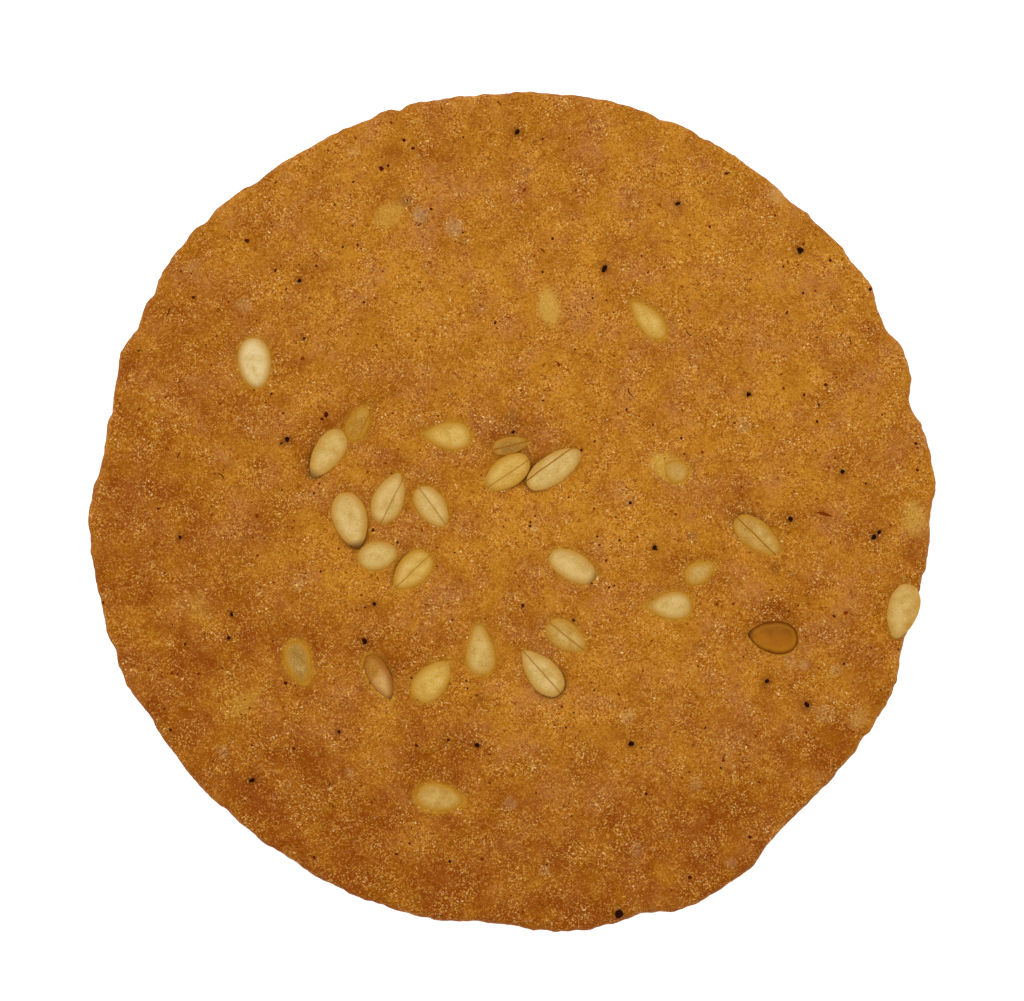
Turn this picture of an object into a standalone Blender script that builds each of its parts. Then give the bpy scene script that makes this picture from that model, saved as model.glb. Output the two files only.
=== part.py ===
"""A thin sesame cookie: one disc of dough, rolled out, cut round and baked on a flat tray.

The solid is the dough alone, in metres with +Z up. It rests on z = 0, and the origin is under the
middle of its bounding box. It starts as a turned disc with a cut edge, steep and little rounded.
Its rim is then pulled out and in, the way soft dough keeps the marks of handling, and its top gets
the soft hollows in which the seeds lie and the gentle swells that baking leaves.
"""

import math

import bpy
import numpy as np
from mathutils import Vector, noise

MM = 0.001

# Driving dimensions.
MEAN_RADIUS = 25.1 * MM
MIDDLE_THICKNESS = 3.4 * MM
SHOULDER_THICKNESS = 2.8 * MM  # where the top turns over into the cut edge
TOP_ROUNDING = 0.45 * MM  # how far in from the rim the shoulder is
FOOT_ROUNDING = 0.5 * MM  # how far in from the rim the flat underside ends
WIDEST_HEIGHT = 2.1 * MM  # height of the rim's widest line over the tray

# How fine the turned disc is.
TURN_STEPS = 180
TOP_RINGS = 13
EDGE_ARC_STEPS = 4
FOOT_ARC_STEPS = 4
DOME_POWER = 2.4  # over 2, so that the dome is flat in the middle and falls near the rim
MERGE_DISTANCE = 0.01 * MM

# How far the rim stands out from the mean circle, in mm, at each bearing in degrees from +X.
# Between two of these the rim runs evenly.
RIM_CORNERS = (
    (4, 0.38), (12, -0.05), (15, -0.42), (18.5, 0.18), (24, 0.21), (26, -0.12),
    (28.5, -0.12), (32, 0.35), (44, 0.04), (55, 0.0), (68, 0.16), (76, 0.24),
    (95, 0.0), (107, 0.12), (112, -0.05), (128, -0.06), (134, 0.28), (143, 0.4),
    (154, -0.04), (157.5, 0.24), (166, -0.32), (172, -0.3), (180, 0.36), (193, 0.17),
    (204, 0.27), (210, -0.17), (222, -0.16), (226, -0.34), (233, -0.27), (237, -0.49),
    (241, -0.24), (245, -0.35), (247, -0.1), (251, -0.35), (256, -0.17), (261, -0.22),
    (265, -0.46), (270, -0.3), (276, 0.26), (283, 0.38), (288, 0.21), (292, 0.75),
    (296, 0.88), (304, 0.62), (307, 0.11), (311, -0.2), (319, -0.2), (326, 0.0),
    (333, 0.13), (337, 0.0), (341, -0.38), (349, -0.28), (355, -0.03), (359, -0.12),
)
RIM_PULL_POWER = 5  # how quickly that pull fades towards the middle

# Soft hollows under the seeds: x, y, radius and depth, in mm.
HOLLOWS = (
    (0.6, 3.2, 2.7, 0.42),
    (-10.4, 4.1, 2.3, 0.36),
    (14.4, -1.0, 2.4, 0.36),
    (9.6, -4.6, 2.0, 0.24),
    (15.6, -7.4, 2.2, 0.2),
    (-4.4, -15.8, 2.4, 0.32),
    (-8.0, -9.4, 2.0, 0.28),
    (-7.6, -1.4, 3.0, 0.16),
    (2.2, -9.2, 2.6, 0.18),
)
SWELL_HEIGHT = 0.13 * MM
SWELL_LENGTH = 9.0 * MM


def half_section():
    """The disc's half section from the middle of its top, round the edge, to the middle of its foot."""
    shoulder = MEAN_RADIUS - TOP_ROUNDING
    rise = MIDDLE_THICKNESS - SHOULDER_THICKNESS
    points = []
    for ring in range(TOP_RINGS):
        share = ring / TOP_RINGS
        points.append((share * shoulder, SHOULDER_THICKNESS + rise * (1 - share**DOME_POWER)))
    for step in range(EDGE_ARC_STEPS + 1):
        turn = math.pi / 2 * step / EDGE_ARC_STEPS
        height = WIDEST_HEIGHT + (SHOULDER_THICKNESS - WIDEST_HEIGHT) * math.cos(turn)
        points.append((shoulder + TOP_ROUNDING * math.sin(turn), height))
    for step in range(1, FOOT_ARC_STEPS + 1):
        turn = math.pi / 2 * step / FOOT_ARC_STEPS
        radius = MEAN_RADIUS - FOOT_ROUNDING * (1 - math.cos(turn))
        points.append((radius, WIDEST_HEIGHT * (1 - math.sin(turn))))
    points.append((0.0, 0.0))
    return points


def turned_disc(name):
    """The half section turned once round the Z axis, as a plain mesh object."""
    points = [(radius, 0.0, height) for radius, height in half_section()]
    edges = [(i, i + 1) for i in range(len(points) - 1)]
    section = bpy.data.meshes.new(name + "_section")
    section.from_pydata(points, edges, [])
    disc = bpy.data.objects.new(name, section)
    turn = disc.modifiers.new("turn", "SCREW")
    turn.steps = TURN_STEPS
    turn.render_steps = TURN_STEPS
    turn.use_merge_vertices = True
    turn.merge_threshold = MERGE_DISTANCE
    return disc


def rim_pull(bearing):
    """How far the rim stands out from the mean circle at this bearing, in metres."""
    degrees, stand_out = zip(*RIM_CORNERS)
    return MM * float(np.interp(math.degrees(bearing), degrees, stand_out, period=360))


def hollow_depth(x, y):
    """How deep the soft hollows take the top at this place, in metres."""
    depth = 0.0
    for centre_x, centre_y, radius, deep in HOLLOWS:
        away = math.hypot(x - centre_x * MM, y - centre_y * MM) / (radius * MM)
        depth += deep * MM * math.exp(-2 * away**2)
    return depth


def shaped(point):
    """Where a point of the turned disc lies once the dough is handled and baked."""
    radius = math.hypot(point.x, point.y)
    bearing = math.atan2(point.y, point.x)
    share = radius / MEAN_RADIUS
    stretch = 1 + rim_pull(bearing) * share**RIM_PULL_POWER / MEAN_RADIUS
    x = point.x * stretch
    y = point.y * stretch
    swell = SWELL_HEIGHT * noise.noise(Vector((x, y, 0)) / SWELL_LENGTH)
    lift = point.z / MIDDLE_THICKNESS  # 0 on the flat underside
    return Vector((x, y, point.z + lift * (swell - hollow_depth(x, y))))


def baked_dough(name, material):
    """The turned disc, applied, shaped point by point, and centred over the origin."""
    disc = turned_disc(name)
    bpy.context.scene.collection.objects.link(disc)
    graph = bpy.context.evaluated_depsgraph_get()
    mesh = bpy.data.meshes.new_from_object(disc.evaluated_get(graph))
    bpy.data.objects.remove(disc)
    for vertex in mesh.vertices:
        vertex.co = shaped(vertex.co)
    places = np.array([vertex.co for vertex in mesh.vertices])
    middle = (places.min(axis=0) + places.max(axis=0)) / 2
    for vertex in mesh.vertices:
        vertex.co -= Vector((middle[0], middle[1], 0))
    mesh.shade_smooth()
    mesh.set_sharp_from_angle(angle=math.radians(50))
    mesh.materials.clear()
    mesh.materials.append(material)
    mesh.name = name
    return bpy.data.objects.new(name, mesh)


def golden_crust():
    """Baked wheat dough, golden brown and dry."""
    material = bpy.data.materials.new("golden_crust")
    material.use_nodes = True
    shader = material.node_tree.nodes["Principled BSDF"]
    shader.inputs["Base Color"].default_value = (0.43, 0.17, 0.03, 1)
    shader.inputs["Roughness"].default_value = 0.65
    shader.inputs["Metallic"].default_value = 0
    return material


def main():
    for old in list(bpy.data.objects):
        bpy.data.objects.remove(old)
    cookie = bpy.data.collections.new("sesame_cookie")
    bpy.context.scene.collection.children.link(cookie)
    cookie.objects.link(baked_dough("baked_dough", golden_crust()))


main()
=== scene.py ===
"""How a thin sesame cookie looks: golden baked dough with hulled sesame seeds and specks of bran.

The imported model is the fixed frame, in metres with +Z up. It gives the dough's outer shape, and
the baked dough, the seeds and the specks are built round it. The cookie rests on z = 0.
"""

import math
import random
from collections import namedtuple

import bpy
import numpy as np
from mathutils import Matrix, Vector, noise
from mathutils.bvhtree import BVHTree


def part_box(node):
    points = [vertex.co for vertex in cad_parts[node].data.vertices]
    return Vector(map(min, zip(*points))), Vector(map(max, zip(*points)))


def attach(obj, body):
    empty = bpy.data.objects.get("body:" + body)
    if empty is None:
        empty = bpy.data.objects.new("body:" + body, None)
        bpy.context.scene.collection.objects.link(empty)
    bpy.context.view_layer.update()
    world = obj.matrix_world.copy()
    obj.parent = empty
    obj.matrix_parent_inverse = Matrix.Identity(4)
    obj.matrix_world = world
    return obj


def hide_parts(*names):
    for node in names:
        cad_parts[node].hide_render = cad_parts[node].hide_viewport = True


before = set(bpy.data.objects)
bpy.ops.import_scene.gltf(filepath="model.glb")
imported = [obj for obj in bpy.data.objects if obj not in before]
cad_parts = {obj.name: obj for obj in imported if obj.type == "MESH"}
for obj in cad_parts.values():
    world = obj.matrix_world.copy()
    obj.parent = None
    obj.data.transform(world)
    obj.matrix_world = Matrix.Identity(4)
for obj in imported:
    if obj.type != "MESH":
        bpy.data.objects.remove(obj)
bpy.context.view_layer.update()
MM = 0.001

# ---- Sesame seeds ----
# Hulled white sesame, stirred into the dough before it was rolled out. A seed is a flat drop, blunt
# at one end and pointed where it hung in its pod, and one of its two faces has a fine seam from end
# to end. The roller pressed the seeds level with the top, and the oven browned a few of them.

SEED_THICKNESS = 0.3  # of a seed's width
SEED_FLATNESS = 4  # over 2, so that the two faces are flatter than an oval's
SEED_TUCK = 0.04  # mm that a seed goes on under the dough's edge
SEED_RINGS = 36
SEED_POINTS_ROUND = 48
OUTLINE_POINTS = 40  # along each side of a seed's outline
SEAM_DEPTH = 0.006 * MM
SEAM_WIDTH = 0.06 * MM
SEAM_CROWDING = 1.4  # over 1, so that the points of the seamed face crowd towards the seam
SEED_LUMP = 0.7 * MM
SEED_UNEVENNESS = 0.03 * MM
REST_REACH = 0.8 * MM  # how far from its middle a seed leans on the crust
RIM_SEEDS = 22  # mm from the middle, from where on there is no crust on one side to lean on
BLUSH_FADE = 0.6  # of a seed's half width, over which a blush comes up
BLUSH_LUMP = 0.4 * MM

# The skin of each kind of seed, from the palest to the most toasted.
HUSKS = {
    "cream": "#DEC58D", "ivory": "#D2B16A", "straw": "#CDA85C", "gold": "#D1A84E",
    "amber": "#CB9E58", "shaded": "#C29848", "dull": "#AA7F35", "oily": "#B58024",
    "toasted": "#A8660A",
}

# x, y, length and width in mm; tip is the bearing that the point faces, in degrees from +X. sharp is
# how drawn out the point is, and neck how wide it stays where it was broken from its stalk, of the
# width. rise is how high the seed's middle lies over the crust in mm, and roll its lean to its
# right side in degrees. seam is where the seam lies at the blunt end and at the point, from -1 at
# the right to 1 at the left, and groove how dark it is. film is how much dough has crept over the
# edge, scorch how dark the tip is, and gap the bearing and depth in mm of the crevice beside it.
# blush is a side of another colour: its bearing, where it starts, from -1 to 1 across the seed, how
# strong it is and its colour. edge is the colour of the film of dough on its edge.
Seed = namedtuple(
    "Seed",
    "x y length width tip husk sharp neck rise roll seam groove film scorch gap blush edge",
    defaults=("straw", 0.72, 0.15, -0.225, 0, None, 0.5, 0.5, 0.1, None, None, "#B67C12"),
)
seeds = (
    Seed(-15.35, 8.89, 3.15, 1.98, 277, "cream", sharp=0.6, neck=0.35, film=0.8),
    Seed(8.08, 11.5, 3.05, 1.48, 131, "gold", sharp=0.8, film=0.9, rise=-0.235),
    Seed(-11.02, 3.47, 3.25, 1.72, 237, "straw", neck=0.3, gap=(205, 0.3), scorch=0.6, film=0.3,
         rise=-0.155),
    Seed(-9.15, 5.3, 2.3, 1.35, 62, "oily", rise=-0.275, film=0.7, seam=(-0.62, -0.5), roll=8),
    Seed(-3.9, 4.55, 3.0, 1.7, 177, "gold", sharp=0.9, film=0.8),
    # This seed's blush is painted shade on its lower side, where the seed tilts away from the lamp.
    Seed(-0.09, 3.97, 2.25, 1.0, 11, "dull", rise=-0.255, seam=(-0.1, 0.1), groove=1.0, film=0.4,
         gap=(265, 0.2), blush=(281, -0.1, 0.9, "#926A2E")),
    Seed(-0.27, 2.36, 3.0, 1.78, 214, "gold", sharp=0.55, seam=(0.1, 0.1), film=0.5, gap=(350, 0.2),
         rise=-0.155),
    Seed(2.51, 2.57, 3.72, 1.72, 34, "ivory", sharp=0.55, seam=(0.36, 0.48), groove=0.8, film=0.3,
         gap=(190, 0.25), rise=-0.155),
    Seed(-9.63, -0.5, 3.38, 2.02, 285, "ivory", sharp=0.7, neck=0.3, scorch=0.8, film=0.5,
         gap=(300, 0.2), rise=-0.155),
    Seed(-7.32, 0.87, 3.2, 1.82, 68, "ivory", sharp=0.75, seam=(-0.1, -0.4), film=0.4),
    Seed(-4.76, 0.3, 2.9, 1.68, 305, "ivory", sharp=0.65, neck=0.25, seam=(0.02, 0.08), film=0.6),
    Seed(-8.0, -2.6, 2.42, 1.7, 13, "ivory", sharp=0.6, neck=0.3, film=0.6),
    Seed(-5.95, -3.5, 2.95, 1.85, 225, "gold", sharp=0.7, seam=(0.1, 0.0), film=0.8, gap=(160, 0.12)),
    Seed(3.62, -3.24, 3.2, 1.72, 331, "ivory", sharp=0.5, scorch=0.5, film=0.6),
    Seed(11.22, -3.58, 2.0, 1.3, 29, "shaded", neck=0.3, rise=-0.215, film=0.8),
    Seed(9.3, -5.6, 2.95, 1.72, 181, "ivory", sharp=0.95, film=0.9, blush=(185, 0.5, 0.7, "#B88634")),
    Seed(14.7, -1.48, 3.45, 1.7, 321, "shaded", seam=(0.12, -0.26), groove=0.8, film=0.6,
         gap=(110, 0.12), rise=-0.195),
    Seed(15.55, -7.47, 3.1, 1.9, 173, "toasted", sharp=0.75, neck=0.22, scorch=1.0, film=0.0,
         rise=-0.175, blush=(85, -0.1, 0.6, "#885004")),
    Seed(23.3, -5.93, 3.3, 1.82, 254, "straw", neck=0.35, film=0.0, rise=-0.05, roll=-6),
    Seed(3.27, -7.43, 2.78, 1.65, 325, "shaded", seam=(0.12, -0.08), groove=0.6, film=0.5),
    Seed(1.74, -9.54, 3.38, 1.82, 131, "ivory", sharp=0.8, neck=0.25, seam=(-0.05, 0.0), groove=0.6,
         film=0.3, gap=(311, 0.28), rise=-0.155),
    Seed(-1.9, -8.2, 3.1, 1.78, 94, "straw", sharp=0.95, neck=0.45, film=0.8),
    Seed(-4.73, -10.05, 3.05, 1.88, 49, "gold", film=0.7),
    Seed(-7.9, -9.87, 3.1, 1.4, 298, "amber", film=0.9, gap=(30, 0.12), roll=-8, rise=-0.195,
         scorch=0.7, blush=(125, -0.1, 1.0, "#B27A20"), edge="#98540A"),
    Seed(-12.72, -8.98, 2.72, 1.58, 285, "dull", film=1.0, rise=-0.245),
    Seed(-4.3, -17.06, 3.1, 1.75, 352, "shaded", film=1.0, rise=-0.265),
    Seed(9.75, 2.45, 1.7, 1.45, 149, "shaded", film=1.0, rise=-0.255),
)


def linear(hex_colour):
    """A colour as shader numbers, from its sRGB hex value."""
    parts = [int(hex_colour[i : i + 2], 16) / 255 for i in (1, 3, 5)]
    return [c / 12.92 if c <= 0.04045 else ((c + 0.055) / 1.055) ** 2.4 for c in parts] + [1.0]


def node(material, kind, settings=None, feeds=None, out=0):
    """Adds a node to a material, with its settings and what feeds its sockets; gives one output."""
    new = material.node_tree.nodes.new("ShaderNode" + kind)
    for name, value in (settings or {}).items():
        setattr(new, name, value)
    for socket, value in (feeds or {}).items():
        if isinstance(value, bpy.types.NodeSocket):
            material.node_tree.links.new(value, new.inputs[socket])
        else:
            new.inputs[socket].default_value = value
    return new.outputs[out]


def new_material(name, sockets):
    """A material whose shader has these values on its own sockets, and that shader."""
    material = bpy.data.materials.new(name)
    material.use_nodes = True
    shader = material.node_tree.nodes["Principled BSDF"]
    for socket, value in sockets.items():
        shader.inputs[socket].default_value = value
    return material, shader


def new_piece(name, points, faces, material, smooth=True):
    """A mesh object of one material, linked to the scene."""
    mesh = bpy.data.meshes.new(name)
    mesh.from_pydata(points, [], faces)
    if smooth:
        mesh.shade_smooth()
    mesh.materials.append(material)
    piece = bpy.data.objects.new(name, mesh)
    bpy.context.scene.collection.objects.link(piece)
    return piece


def mark(piece, name, values, kind="FLOAT"):
    """Marks each point of a piece with a value or a colour, for its material to read."""
    layer = piece.data.attributes.new(name, kind, "POINT")
    field = "value" if kind == "FLOAT" else "color"
    layer.data.foreach_set(field, np.asarray(values, np.float32).ravel())


def surface_of(piece):
    """A search tree of a mesh's faces, to find where a line meets it."""
    corners = [vertex.co for vertex in piece.data.vertices]
    return BVHTree.FromPolygons(corners, [tuple(face.vertices) for face in piece.data.polygons])


cad_dough = surface_of(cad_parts["baked_dough"])
dough_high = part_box("baked_dough")[1]


def crust_height(x, y):
    """Height of the dough's top at a place, before it is baked."""
    hit = cad_dough.ray_cast(Vector((x, y, 2 * dough_high.z)), Vector((0, 0, -1)))[0]
    return hit.z if hit else 0.0


def drop_width(share, sharp, neck=0.0):
    """A seed's half width, from 0 to 1, at a share of its length from -1 (blunt) to 1 (point)."""
    widest = (0.5 - sharp) / (0.5 + sharp)
    most = (1 + widest) ** 0.5 * (1 - widest) ** sharp
    drop = np.clip(1 + share, 0, 2) ** 0.5 * np.clip(1 - share, 0, 2) ** sharp / most
    stub = neck * np.clip(1 - np.abs(share) ** 8, 0, 1) ** 0.5
    return (drop**4 + stub**4) ** 0.25


def outline_distance(seed, x, y):
    """How far places, in mm, lie from a seed's outline, over 0 outside and under 0 inside, and the
    unit step (x, y) that points from each place inwards over the outline."""
    bearing = math.radians(seed.tip)
    ahead_x, ahead_y = math.cos(bearing), math.sin(bearing)
    along = (x - seed.x) * ahead_x + (y - seed.y) * ahead_y
    across = (y - seed.y) * ahead_x - (x - seed.x) * ahead_y
    side = np.where(across < 0, -1.0, 1.0)
    share = -np.cos(np.linspace(0, math.pi, OUTLINE_POINTS))
    outline_x = share * seed.length / 2
    outline_y = drop_width(share, seed.sharp, seed.neck) * seed.width / 2
    run_x, run_y = np.diff(outline_x), np.diff(outline_y)
    to_x, to_y = along[:, None] - outline_x[:-1], np.abs(across)[:, None] - outline_y[:-1]
    part = np.clip((to_x * run_x + to_y * run_y) / (run_x**2 + run_y**2), 0, 1)
    off_x, off_y = part * run_x - to_x, part * run_y - to_y
    distance = np.hypot(off_x, off_y)
    nearest = np.arange(len(along)), distance.argmin(axis=1)
    away, step_along, step_across = distance[nearest], off_x[nearest], off_y[nearest]
    inside = np.abs(across) < np.interp(along, outline_x, outline_y, left=-1, right=-1)
    inward = np.where(inside, -1, 1) / np.maximum(away, 1e-6)
    step_x = (step_along * ahead_x - side * step_across * ahead_y) * inward
    step_y = (step_along * ahead_y + side * step_across * ahead_x) * inward
    return np.where(inside, -away, away), step_x, step_y


def seed_place(seed):
    """The matrix that lays a seed on the crust: X to its point, Y to its left, Z out of the dough."""
    x, y = seed.x * MM, seed.y * MM
    rise_x = crust_height(x + REST_REACH, y) - crust_height(x - REST_REACH, y)
    rise_y = crust_height(x, y + REST_REACH) - crust_height(x, y - REST_REACH)
    if seed.x**2 + seed.y**2 > RIM_SEEDS**2:
        rise_x, rise_y = 0.0, 0.0
    up = Vector((-rise_x, -rise_y, 2 * REST_REACH)).normalized()
    bearing = math.radians(seed.tip)
    ahead = Vector((math.cos(bearing), math.sin(bearing), 0))
    ahead = (ahead - up * ahead.dot(up)).normalized()
    left = up.cross(ahead)
    turned = Matrix((ahead, left, up)).transposed().to_4x4()
    roll = Matrix.Rotation(math.radians(-seed.roll), 4, "X")
    height = crust_height(x, y) + seed.rise * MM
    return Matrix.Translation(Vector((x, y, height))) @ turned @ roll


def lofted_faces(rings, points_round, start):
    """Faces of a closed form whose points are one end, then the rings, then the other end."""
    first, last = start, start + 1 + rings * points_round
    faces = []
    for step in range(points_round):
        following = (step + 1) % points_round
        faces.append((first, first + 1 + step, first + 1 + following))
        for ring in range(rings - 1):
            low = first + 1 + ring * points_round
            high = low + points_round
            faces.append((low + step, high + step, high + following, low + following))
        faces.append((last, last - points_round + following, last - points_round + step))
    return faces


def seed_shape(seed, number):
    """A seed's points in its own frame, and for each its distance from the seam in mm, its share
    of the length, and how far in from the outline it lies, in mm."""
    half_length = (seed.length / 2 + SEED_TUCK) * MM
    half_width = (seed.width / 2 + SEED_TUCK) * MM
    points, seam, along = [], [], []
    for ring in range(SEED_RINGS + 2):
        share = -math.cos(math.pi * ring / (SEED_RINGS + 1))
        width = half_width * float(drop_width(share, seed.sharp, seed.neck))
        thick = half_width * SEED_THICKNESS * float(drop_width(share, 0.6)) ** 0.8
        at_end = ring in (0, SEED_RINGS + 1)
        centre = 0.0
        if seed.seam and not at_end:
            blunt, point = seed.seam
            line = blunt + (point - blunt) * (share + 1) / 2
            centre = max(-0.97, min(0.97, line * half_width / width))
        for step in range(1 if at_end else SEED_POINTS_ROUND):
            turn = 2 * math.pi * step / SEED_POINTS_ROUND
            across = math.cos(turn)
            over = math.sin(turn)
            if over > 0:
                reach = 1 - centre if across > 0 else 1 + centre
                across = centre + math.copysign(reach * abs(across) ** SEAM_CROWDING, across)
            height = max(0.0, 1 - abs(across) ** SEED_FLATNESS) ** (1 / SEED_FLATNESS)
            place = Vector((share * half_length, across * width, 0))
            if not at_end:
                place.z = math.copysign(height * thick, over)
            from_seam = 1.0
            if seed.seam and over > 0:
                from_seam = (across - centre) * width / MM
                place.z -= SEAM_DEPTH * seed.groove * math.exp(-((from_seam * MM / SEAM_WIDTH) ** 2))
            lump = place / SEED_LUMP + Vector((number * 7.3, 0, 0))
            wander = Vector([noise.noise(lump + Vector((0, 0, 9.1 * axis))) for axis in range(3)])
            points.append(place + wander * SEED_UNEVENNESS)
            seam.append(from_seam)
            along.append(share)
    flat = seed._replace(x=0, y=0, tip=0)
    places = np.array(points) / MM
    inset = -outline_distance(flat, places[:, 0], places[:, 1])[0]
    return points, seam, along, inset.tolist()


def husk_colours(seed, points, number):
    """The skin's colour at each of a seed's points, with its blush if it has one."""
    husk = np.array(linear(HUSKS[seed.husk]))
    if not seed.blush:
        return [husk] * len(points)
    bearing, start, strength, colour = seed.blush
    turn = math.radians(bearing - seed.tip)
    side = Vector((math.cos(turn), math.sin(turn), 0))
    colours = []
    for point in points:
        over = point.dot(side) / (seed.width * MM / 2)
        over += 0.25 * noise.noise(point / BLUSH_LUMP + Vector((number * 3.1, 0, 0)))
        part = max(0.0, min(1.0, (over - start) / BLUSH_FADE)) * strength
        colours.append(husk * (1 - part) + np.array(linear(colour)) * part)
    return colours


def sesame_hull():
    """Skin of a hulled sesame seed: satin, cream to straw, with a fine brown seam and a brown point,
    and a film of oily dough that darkens it towards its edge, partly as painted shade. Light goes a
    little way in."""
    sockets = {"Roughness": 0.55, "IOR": 1.46, "Specular IOR Level": 0.08}
    sockets |= {"Subsurface Weight": 0.3, "Subsurface Radius": (1.0, 0.7, 0.35)}
    skin, shader = new_material("sesame_hull", sockets | {"Subsurface Scale": 0.4 * MM})
    place = node(skin, "TexCoord", out="Object")
    colour = node(skin, "Attribute", {"attribute_name": "husk"}, out="Color")
    dough_film = node(skin, "Attribute", {"attribute_name": "edge"}, out="Color")
    kept = {
        name: node(skin, "Attribute", {"attribute_name": name}, out="Fac")
        for name in ("seam", "groove", "along", "inset", "film", "scorch", "rind")
    }
    # clouds 0.6 mm wide where the hull is thicker or thinner, and a fine tooth of 0.08 mm
    cloud = node(skin, "TexNoise", None, {"Vector": place, "Scale": 1 / (0.6 * MM), "Detail": 4.0})
    tooth = node(skin, "TexNoise", None, {"Vector": place, "Scale": 1 / (0.08 * MM), "Detail": 2.0})
    hulled = node(skin, "MapRange", None, {0: kept["rind"], 1: 0.0, 2: 1.0, 3: 1.0, 4: 0.0})
    ragged = node(skin, "Math", {"operation": "MULTIPLY_ADD"}, {0: cloud, 1: 0.3, 2: kept["inset"]})
    # the film over the edge is as uneven as the clouds, and fades out half a millimetre in; its
    #     darkening of the edge is partly painted shade
    film_and_edge_shade = node(skin, "MapRange", {"interpolation_type": "SMOOTHSTEP"},
                 {0: ragged, 1: 0.66, 2: 0.1, 3: 0.0, 4: 1.0})
    off_seam = node(skin, "Math", {"operation": "ABSOLUTE"}, {0: kept["seam"]})
    # What lies over the husk, from the bottom up: what it follows, where it starts and where it is
    # fullest, how much then shows, what holds it back, its colour and how it is laid on.
    coats = (
        (cloud, 0.45, 0.68, 0.55, None, linear("#E2CA84"), "MULTIPLY"),  # thicker hull
        (cloud, 0.48, 0.28, 0.3, hulled, linear("#E6C88C"), "MIX"),  # thinner hull
        (tooth, 0.5, 0.3, 0.22, hulled, linear("#E8CE94"), "MIX"),  # powdery
        (tooth, 0.5, 0.75, 0.45, None, linear("#CAB068"), "MULTIPLY"),
        # the film of dough over the seed's edge, with painted shade
        (film_and_edge_shade, 0.0, 1.0, 1.0, kept["film"], dough_film, "MIX"),
        (ragged, 0.36, 0.16, 0.85, kept["rind"], linear("#602000"), "MIX"),  # an unpeeled seed's rind
        (off_seam, 0.07, 0.01, 1.4, kept["groove"], linear("#9A6200"), "MIX"),
        (kept["along"], 0.68, 0.92, 1.0, kept["scorch"], linear("#4C2404"), "MIX"),
    )
    for source, first, full, most, held, over, blend in coats:
        share = node(skin, "MapRange", None, {0: source, 1: first, 2: full, 3: 0.0, 4: most})
        if held:
            share = node(skin, "Math", {"operation": "MULTIPLY"}, {0: share, 1: held})
        colour = node(skin, "Mix", {"data_type": "RGBA", "blend_type": blend},
                      {0: share, 6: colour, 7: over}, out=2)
    skin.node_tree.links.new(colour, shader.inputs["Base Color"])
    satin = node(skin, "Bump", None, {"Strength": 0.4, "Distance": 0.02 * MM, "Height": tooth})
    skin.node_tree.links.new(satin, shader.inputs["Normal"])
    return skin


seed_points, seed_faces = [], []
seed_marks = {}
for number, seed in enumerate(seeds):
    place = seed_place(seed)
    points, seam, along, inset = seed_shape(seed, number)
    seed_faces += lofted_faces(SEED_RINGS, SEED_POINTS_ROUND, len(seed_points))
    seed_points += [place @ point for point in points]
    marks = {"seam": seam, "along": along, "inset": inset}
    marks["husk"] = husk_colours(seed, points, number)
    all_over = {"groove": seed.groove, "film": 0.5 + 0.5 * seed.film, "scorch": seed.scorch}
    all_over |= {"rind": 1.0 if seed.husk == "toasted" else 0.0, "edge": linear(seed.edge)}
    marks |= {name: [value] * len(points) for name, value in all_over.items()}
    for name, values in marks.items():
        seed_marks.setdefault(name, []).extend(values)
sesame = new_piece("sesame_seeds", seed_points, seed_faces, sesame_hull())
for name, values in seed_marks.items():
    mark(sesame, name, values, "FLOAT_COLOR" if name in ("husk", "edge") else "FLOAT")
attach(sesame, "root")

# ---- Baked dough ----
# One disc of wheat dough with sugar and oil, rolled thin, cut round and baked on a flat tray until
# it was crisp. Its top is dry and finely grained, it has crept round the seeds and over some of
# them, its rim is a little ragged where the cutter tore it, and it browned most at the rim.

TOP_CELLS = 248  # across the top
FOOT_CELLS = TOP_CELLS // 2  # across the underside
EDGE_INSET = 0.8 * MM  # from the rim to the outermost line of the top's grid
EDGE_TURN_RINGS = (0.58, 0.4, 0.26, 0.15)  # how far in from the rim, in mm, the next lines are
EDGE_WALL_RINGS = 12  # from there down the cut edge to the tray
WIDEST_HEIGHTS = (1.9 * MM, 2.1 * MM, 2.3 * MM)  # where the rim stands out most
WALL_SPARE = 0.3  # of a ring, that the last one stays over the tray
GRID_SNAP = 0.11  # mm from a seed's outline within which the dough's grid is drawn onto it
CREEP = 0.03  # mm that the dough goes over a seed's edge
WELL_DEPTH = 0.5  # mm that the dough is pressed away under a seed
LIP_WIDTH = 0.2  # mm
DIP_DEPTH = 0.1  # mm that it sinks towards each seed
DIP_WIDTH = 0.7  # mm
NIBBLE = 0.1  # mm that the rim wanders in and out where the cutter tore it
SHRUNK = 0.06  # mm that the rim drew in as the dough dried
RIM_DEGREE = 0.44  # mm of rim in one degree
PIT_DEPTH = 0.12  # mm
BLISTER_HEIGHT = 0.03  # mm
BLISTER_SPREAD = 0.42  # of its width, from its middle to its raised ring
# painted shade: a darker ring round each seed, where the dough dips into its hollow
SEED_SHADE = "#844800"  # a ring round each seed
OILED = "#BE8620"  # the dough that has crept onto a seed
# painted shade in the crevices beside some seeds
CREVICE_SHADE = "#57300E"
BLISTERED = "#C8A06A"
SCORCHED = "#5C2400"  # round each charred bit

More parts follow.
